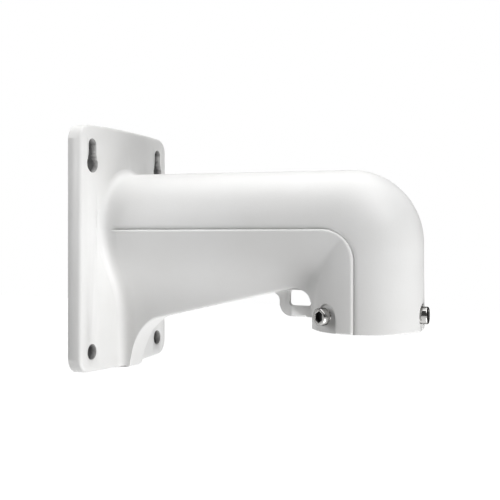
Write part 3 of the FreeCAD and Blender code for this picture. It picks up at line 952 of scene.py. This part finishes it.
@dataclass
class CastBody:
    """The casting: wall plate, arm, elbow, cup, gusset and cord loop in one coated piece."""

    node: str = "bracket_casting"
    name: str = "coated_casting"
    merge: float = 0.00001
    crisp_angle: float = 32.0
    hole_out: float = 48.2
    hole_runs: tuple[tuple[float, float], ...] = ((-75.5, -75.5), (62.2, 75.8))
    hole_reach: float = 7.0
    shape: Shape = field(default_factory=Shape)

    def outer_faces(self, corners: np.ndarray) -> np.ndarray:
        """Which triangles of the CAD casting lie on its outer skin, which finer surfaces replace.

        Args:
            corners: (n, 3, 3) corners of the triangles in millimetres.

        Returns:
            (n,) array, True for a triangle whose three corners all lie on the outer skin.
        """
        s = self.shape
        x, y, z = corners[..., 0], np.abs(corners[..., 1]), corners[..., 2]
        _, _, dx, dz, reach, *_ = CrownSkin(s).path()
        extra = s.flare(x)
        up = z - (s.line_z - s.lap)
        straight = np.hypot(up / (s.top_at_wall - s.top_fall * x + extra - s.line_z + s.lap), y / (s.half + extra))
        angle = np.arctan2(z - s.elbow_z, x - s.elbow_x)
        ray = np.hypot(z - s.elbow_z, x - s.elbow_x) - s.line_radius + s.lap
        rays = np.arctan2(dz, dx)[::-1]
        reach_at = np.interp(angle, rays, reach[::-1])
        elbow = np.hypot(ray / reach_at, y / s.half)
        front = x - s.cup_x + s.lap
        cup = np.hypot(front / (s.cup_out + s.draft * (s.elbow_z - z) - s.cup_x + s.lap), y / s.half)
        part = np.where(x <= s.elbow_x, straight, np.where(z > s.elbow_z, elbow, cup))
        in_crown = np.where(x <= s.elbow_x, up > -0.3, np.where(z > s.elbow_z, ray > -0.3, front > -0.3))
        on_crown = in_crown & (np.abs(part - 1.0) < 0.012)
        ray_in = ray < s.lap + 0.1
        in_panel = np.where(x <= s.elbow_x, z < s.line_z + 0.1, np.where(z > s.elbow_z, ray_in, x < s.cup_x + 0.1))
        on_flank = in_panel & (y > s.flank(x, z, 0.0 * x) - 0.35)
        low = FlankSkin(s)
        top, _ = low.top_line()
        line = low.low_line(top)
        gap = np.full(x.shape, 1e9)
        for first, last in zip(line[:-1], line[1:]):
            leg = last - first
            size = float(leg @ leg)
            if size < 1e-9:
                continue
            t = np.clip(((x - first[0]) * leg[0] + (z - first[1]) * leg[1]) / size, 0.0, 1.0)
            gap = np.minimum(gap, np.hypot(x - first[0] - t * leg[0], z - first[1] - t * leg[1]))
        on_under = (gap < 0.7) & ((z > s.bottom + 0.3) | (x < 60.0))
        radius = np.hypot(x - s.cup_x, y)
        in_cup = (z < s.elbow_z) & (x > s.cup_x - s.half)
        on_seat = in_cup & (radius < s.half - 0.3)
        on_rim = (z < s.bottom + 3.0) & (np.abs(radius - s.edge_radius - z + s.bottom) < 0.15)
        on_skin = (on_crown | on_flank | on_under) & (x > 10.5) & ~(on_seat & ~on_under)
        plate = np.all(x < 11.75, axis=1)
        cup_floor = np.all(z < s.bottom + 0.05, axis=1) & np.any(x > 60.0, axis=1)
        back, wall = self.seat_faces(corners)
        return (np.all(on_skin | on_rim, axis=1) & ~(plate | cup_floor | back)) | wall

    def seat_faces(self, corners: np.ndarray) -> tuple[np.ndarray, np.ndarray]:
        """Which triangles of the CAD casting lie in a screw seat's back, and which in its walls.

        Args:
            corners: (n, 3, 3) corners of the triangles in millimetres.

        Returns:
            Two (n,) arrays, True for a triangle of a back and for one of a wall.
        """
        cutter = SeatCutter()
        backs = np.zeros(len(corners), dtype=bool)
        walls = np.zeros(len(corners), dtype=bool)
        for seat in cutter.seats:
            out, side, up = seat.local(corners / MM)
            side = np.abs(side)
            near = np.all((out > 30.0) & (up < 10.0) & (side < 25.5), axis=1)
            back = np.abs(out - cutter.cad_seat_at) < 0.03
            sides = (np.abs(side - cutter.radius) < 0.03) & (up < 0.05)
            arch = (np.abs(np.hypot(side, up) - cutter.radius) < 0.06) & (up > -0.05)
            roof = (np.abs(up) < 0.03) & (side > cutter.radius - 0.05)
            backs |= near & np.all(back, axis=1)
            for face in (sides, arch, roof):
                walls |= near & np.all(face, axis=1)
        return backs, walls & ~backs

    def inner_part(self, nodes: dict[str, bpy.types.Object]) -> bpy.types.Object:
        """Copy the CAD casting without its outer skin and screw seats: plate, bore, loop and hollow."""
        mesh = nodes[self.node].data.copy()
        mesh.name = self.name
        piece = bpy.data.objects.new(self.name, mesh)
        bpy.context.scene.collection.objects.link(piece)
        work = bmesh.new()
        work.from_mesh(mesh)
        bmesh.ops.remove_doubles(work, verts=work.verts, dist=self.merge)
        work.faces.ensure_lookup_table()
        corners = np.array([[v.co for v in f.verts] for f in work.faces]) * MM
        gone = np.flatnonzero(self.outer_faces(corners))
        LOG.info("outer triangles replaced: %d of %d", len(gone), len(work.faces))
        bmesh.ops.delete(work, geom=[work.faces[i] for i in gone], context="FACES")
        work.to_mesh(mesh)
        work.free()
        return piece

    def skin(self, name: str, points: np.ndarray, cutter: SeatCutter) -> bpy.types.Object:
        """Turn a grid of points in millimetres into a trimmed skin in metres.

        Args:
            name: the piece's name.
            points: (rows, columns, 3) places in millimetres.
            cutter: what cuts the screw seats and notes their outlines.

        Returns:
            The skin's object.
        """
        rows, columns = points.shape[:2]
        piece = new_piece(name, points.reshape(-1, 3) / MM, grid_faces(rows, columns))
        cutter.trim(piece)
        return piece

    def seat_backs(self, cutter: SeatCutter) -> bpy.types.Object:
        """Make the flat backs of the screw seats.

        Args:
            cutter: the cutter after it has trimmed every skin.

        Returns:
            The seats' backs in one piece, shaded flat.
        """
        fans = np.concatenate(cutter.outlines)
        piece = new_piece("seat_backs", fans.reshape(-1, 3), np.arange(len(fans) * 3).reshape(-1, 3))
        work = bmesh.new()
        work.from_mesh(piece.data)
        bmesh.ops.remove_doubles(work, verts=work.verts, dist=2e-6)
        work.to_mesh(piece.data)
        work.free()
        return piece

    def hole_walls(self, mesh: bpy.types.Mesh) -> np.ndarray:
        """Which faces of the inner part are the walls of the plate's screw holes and keyholes.

        Args:
            mesh: the inner part, in metres, all triangles.

        Returns:
            (n,) array, True for a face near a hole's axis that faces that axis.
        """
        places = np.empty(len(mesh.vertices) * 3)
        mesh.vertices.foreach_get("co", places)
        numbers = np.empty(len(mesh.loops), dtype=np.int32)
        mesh.loops.foreach_get("vertex_index", numbers)
        corners = MM * places.reshape(-1, 3)[numbers.reshape(-1, 3)]
        normals = np.cross(corners[:, 1] - corners[:, 0], corners[:, 2] - corners[:, 0])
        size = np.maximum(np.linalg.norm(normals, axis=1), 1e-9)
        middle = corners.mean(axis=1)
        inside = np.zeros(len(corners), dtype=bool)
        for low, high in self.hole_runs:
            axis_y = np.sign(middle[:, 1]) * self.hole_out
            away = np.stack([middle[:, 1] - axis_y, middle[:, 2] - np.clip(middle[:, 2], low, high)], -1)
            facing = -(away * normals[:, 1:]).sum(axis=1) / size / np.maximum(np.linalg.norm(away, axis=1), 1e-9)
            inside |= (np.linalg.norm(away, axis=1) < self.hole_reach) & (facing > 0.5)
        return inside & (middle[:, 0] < self.shape.plate_front + 1.0) & (np.abs(normals[:, 0]) < 0.3 * size)

    def build(
        self, nodes: dict[str, bpy.types.Object], coat: bpy.types.Material, hole_shade: bpy.types.Material
    ) -> list[bpy.types.Object]:
        """Join the inner part of the CAD casting with its finer outer skins, and coat it.

        Args:
            nodes: the CAD nodes by name.
            coat: the powder coat.
            hole_shade: painted shade for the drilled holes' walls.

        Returns:
            The pieces that stand for the CAD casting.
        """
        casting = self.inner_part(nodes)
        casting.data.materials.clear()
        casting.data.materials.append(coat)
        casting.data.materials.append(hole_shade)
        # Walls of the plate's holes get the painted-shade material.
        casting.data.polygons.foreach_set("material_index", self.hole_walls(casting.data).astype(np.int32))
        smooth(casting, self.crisp_angle)
        pieces = [casting]
        cutter = SeatCutter()
        for maker in (CrownSkin(self.shape), FlankSkin(self.shape)):
            skin = self.skin(maker.name, maker.points(), cutter)
            skin.data.materials.append(coat)
            smooth(skin, 60.0)
            pieces.append(skin)
        backs = self.seat_backs(cutter)
        backs.data.materials.append(coat)
        pieces.append(backs)
        for piece in pieces:
            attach(piece, BODY)
            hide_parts(self.node)
        return pieces


@dataclass
class LockScrews:
    """Three socket-head cap screws round the cup, with hexagon sockets and cut threads, in metres."""

    seats: tuple[Seat, ...] = (Seat(0.0), Seat(121.5), Seat(238.5))
    seat_at: float = 0.0366
    stand_off: tuple[float, ...] = (0.0, 0.0026, 0.0026)
    head_radius: float = 0.0059
    head_height: float = 0.0054
    shank_radius: float = 0.004
    shank_length: float = 0.0063
    socket_flat: float = 0.0033
    socket_depth: float = 0.003
    pitch: float = 0.00125
    thread_depth: float = 0.00055
    edge: float = 0.0007
    socket_cone: float = 0.0009
    socket_flare: float = 1.11
    face_ring: float = 1.36
    nick: float = 0.0003
    thread_from: float = 0.0002
    thread_rings: int = 40
    tip_length: float = 0.0006
    tip_draw: float = 0.0008
    columns: int = 96
    socket_rings: int = 3
    pieces: list[bpy.types.Object] = field(default_factory=list)

    def profile(self) -> tuple[np.ndarray, np.ndarray, np.ndarray]:
        """Rings of one screw along its own axis, from the socket's floor out and down to the tip.

        Returns:
            Axial places (0 at the seat, positive outwards), circle radii, and how far each ring is
            the socket's hexagon (1) instead of a circle (0).
        """
        top = self.head_height
        bend = np.linspace(0.0, math.pi / 2, 6)
        flat = self.socket_flat
        radius = self.head_radius
        floor = top - self.socket_depth
        rows = [(floor - self.socket_cone, 0.0, 0.0), (floor, flat * 0.98, 0.0), (floor, flat, 1.0)]
        rows += [(top - self.nick, flat, 1.0), (top, flat * self.socket_flare, 1.0)]
        rows += [(top, flat * self.face_ring, 0.0), (top, radius - self.edge, 0.0)]
        rows += [
            (top - self.edge + self.edge * math.cos(a), radius - self.edge + self.edge * math.sin(a), 0.0)
            for a in bend[1:]
        ]
        rows += [(self.nick, radius, 0.0), (0.0, radius - self.nick, 0.0), (0.0, self.shank_radius, 0.0)]
        steps = np.linspace(-self.thread_from, -self.shank_length + self.tip_length, self.thread_rings)
        rows += [(z, self.shank_radius, 0.0) for z in steps]
        rows += [(-self.shank_length, self.shank_radius - self.tip_draw, 0.0), (-self.shank_length, 0.0, 0.0)]
        array = np.array(rows)
        return array[:, 0], array[:, 1], array[:, 2]

    def surface(self, seat: Seat, lift: float) -> tuple[np.ndarray, np.ndarray]:
        """One screw as a function of ring and turn.

        A ring is a circle, or a hexagon whose radius at a turn t is its flat distance divided by the
        cosine of t's distance from the middle of its side. On the shank the radius drops by the
        thread's depth times a triangle wave of (axial place / pitch - t / full turn).

        Args:
            seat: the screw's seat.
            lift: gap left under the head, in metres.

        Returns:
            The points in the CAD frame and the quads.
        """
        axial, radius, hexagon = self.profile()
        turn = np.linspace(0.0, 2.0 * math.pi, self.columns, endpoint=False)
        side = turn % (math.pi / 3) - math.pi / 6
        six = 1.0 / np.cos(side)
        ring = radius[:, None] * (1.0 + hexagon[:, None] * (six[None, :] - 1.0))
        phase = (axial[:, None] / self.pitch - turn[None, :] / (2.0 * math.pi)) % 1.0
        wave = 1.0 - np.abs(2.0 * phase - 1.0)
        shank = ((axial < -0.0001) & (radius > 0.003))[:, None]
        ring = ring - shank * self.thread_depth * wave
        places = (
            seat.centre
            + (self.seat_at + lift + axial)[:, None, None] * seat.out
            + (ring * np.cos(turn))[:, :, None] * seat.up
            + (ring * np.sin(turn))[:, :, None] * seat.side
        )
        return places.reshape(-1, 3), grid_faces(len(axial), self.columns, closed=True)

    def build(self, steel: bpy.types.Material, socket_shade: bpy.types.Material) -> list[bpy.types.Object]:
        """Make the three screws.

        Args:
            steel: the screws' finish.
            socket_shade: near-black painted shade inside their hexagon sockets.

        Returns:
            The three pieces.
        """
        for number, (seat, lift) in enumerate(zip(self.seats, self.stand_off), start=1):
            points, faces = self.surface(seat, lift)
            piece = new_piece(f"cap_screw_{number}", points, faces)
            piece.data.materials.append(steel)
            piece.data.materials.append(socket_shade)
            # The socket's rings get the near-black painted shade.
            inside = np.arange(len(faces)) < self.socket_rings * self.columns
            piece.data.polygons.foreach_set("material_index", inside.astype(np.int32))
            weld(piece, 0.000002)
            smooth(piece, 30.0)
            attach(piece, BODY)
            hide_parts(f"lock_screw_{number}")
            self.pieces.append(piece)
        return self.pieces


@dataclass
class Studio:
    """Pale floor, soft light and the camera at the photograph's viewing angle."""

    camera_place: tuple[float, float, float] = (0.35599, -0.5677, 0.01002)
    camera_turn: float = 22.96
    lens: float = 60.44
    shift: float = -0.0302
    floor_z: float = -1.3
    floor_half: float = 14.0
    ambient: float = 0.095
    backdrop: float = 1.0
    aimed_at: tuple[float, float, float] = (0.12, 0.0, 0.0)
    boxes: dict[str, tuple[tuple[float, float, float], float, float]] = field(
        default_factory=lambda: {
            "overhead_box": ((0.15, 0.10, 1.2), 1.2, 12.9),
            "upper_front_box": ((0.9, -0.5, 1.0), 0.8, 9.2),
            "low_front_box": ((0.8, -0.2, -0.8), 0.9, 12.0),
            "near_side_box": ((-0.30, -0.35, 0.20), 0.3, 1.16),
        }
    )

    def camera(self) -> None:
        """Level camera, turned about the vertical, with the photograph's vertical shift."""
        data = bpy.data.cameras.new("photo_view")
        data.sensor_width = 36.0
        data.lens = self.lens
        data.shift_y = self.shift
        data.clip_start = 0.01
        view = bpy.data.objects.new("photo_view", data)
        view.location = self.camera_place
        view.rotation_euler = (math.radians(90.0), 0.0, math.radians(self.camera_turn))
        bpy.context.scene.collection.objects.link(view)
        bpy.context.scene.camera = view

    def floor(self) -> bpy.types.Object:
        """Flat square floor below the bracket.

        Returns:
            The floor object.
        """
        half = self.floor_half
        corners = np.array([(-half, -half), (half, -half), (half, half), (-half, half)])
        points = np.column_stack([corners, np.full(4, self.floor_z)])
        floor = new_piece("studio_floor", points, np.array([[0, 1, 2, 3]]))
        floor.data.materials.append(PaleFloor().build())
        floor.visible_diffuse = False
        return floor

    def soft_box(self, name: str, place: tuple[float, float, float], size: float, power: float) -> None:
        """Square area light at a place, aimed at the bracket's middle.

        Args:
            name: the light's name.
            place: where it hangs, in metres.
            size: edge length in metres.
            power: watts.
        """
        data = bpy.data.lights.new(name, "AREA")
        data.shape = "SQUARE"
        data.size = size
        data.energy = power
        lamp = bpy.data.objects.new(name, data)
        aim = np.array(self.aimed_at) - np.array(place)
        reach = float(np.hypot(aim[0], aim[1]))
        lamp.location = place
        lamp.visible_camera = False
        lamp.rotation_euler = (math.atan2(reach, -aim[2]), 0.0, math.atan2(aim[1], aim[0]) - math.pi / 2)
        bpy.context.scene.collection.objects.link(lamp)

    def world(self) -> None:
        """Even pale surroundings that the camera sees as plain white."""
        world = bpy.data.worlds.new("studio_air")
        world.use_nodes = True
        tree = world.node_tree
        tree.nodes.clear()
        output = tree.nodes.new("ShaderNodeOutputWorld")
        mix = tree.nodes.new("ShaderNodeMixShader")
        path = tree.nodes.new("ShaderNodeLightPath")
        tree.links.new(path.outputs["Is Camera Ray"], mix.inputs["Fac"])
        for number, strength in enumerate((self.ambient, self.backdrop), start=1):
            air = tree.nodes.new("ShaderNodeBackground")
            air.inputs["Strength"].default_value = strength
            air.inputs["Color"].default_value = WHITE
            tree.links.new(air.outputs["Background"], mix.inputs[number])
        tree.links.new(mix.outputs["Shader"], output.inputs["Surface"])
        bpy.context.scene.world = world

    def build(self) -> None:
        """Set up camera, floor, surroundings and lights."""
        bpy.context.scene.view_settings.view_transform = "Standard"
        self.camera()
        self.floor()
        self.world()
        for name, (place, size, power) in self.boxes.items():
            self.soft_box(name, place, size, power)


def main() -> None:
    """Build the bracket's pieces in order and report each."""
    logging.basicConfig(level=logging.INFO, format="%(name)s: %(message)s")
    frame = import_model()
    nodes = frame["nodes"]
    Studio().build()
    # Painted shade in the plate's holes: their walls are darkened, most at the hole's middle along X.
    hole_shade = PaintedShadeMetal("hole_wall_painted_shade", (0.50, 0.495, 0.49, 1.0), (0.07, 0.07, 0.07, 1.0), 160.0, (0.005, 0.0115))
    # Painted shade in the screws' hexagon sockets: near black.
    socket_shade = PaintedShadeMetal("socket_painted_shade", (0.02, 0.02, 0.02, 1.0), (0.006, 0.006, 0.006, 1.0), 600.0)
    casting = CastBody().build(nodes, PowderCoat().build(), hole_shade.build())
    screws = LockScrews().build(ScrewSteel().build(), socket_shade.build())
    for piece in [*casting, *screws]:
        LOG.info("%s: %d faces", piece.name, len(piece.data.polygons))


if __name__ == "__main__":
    main()
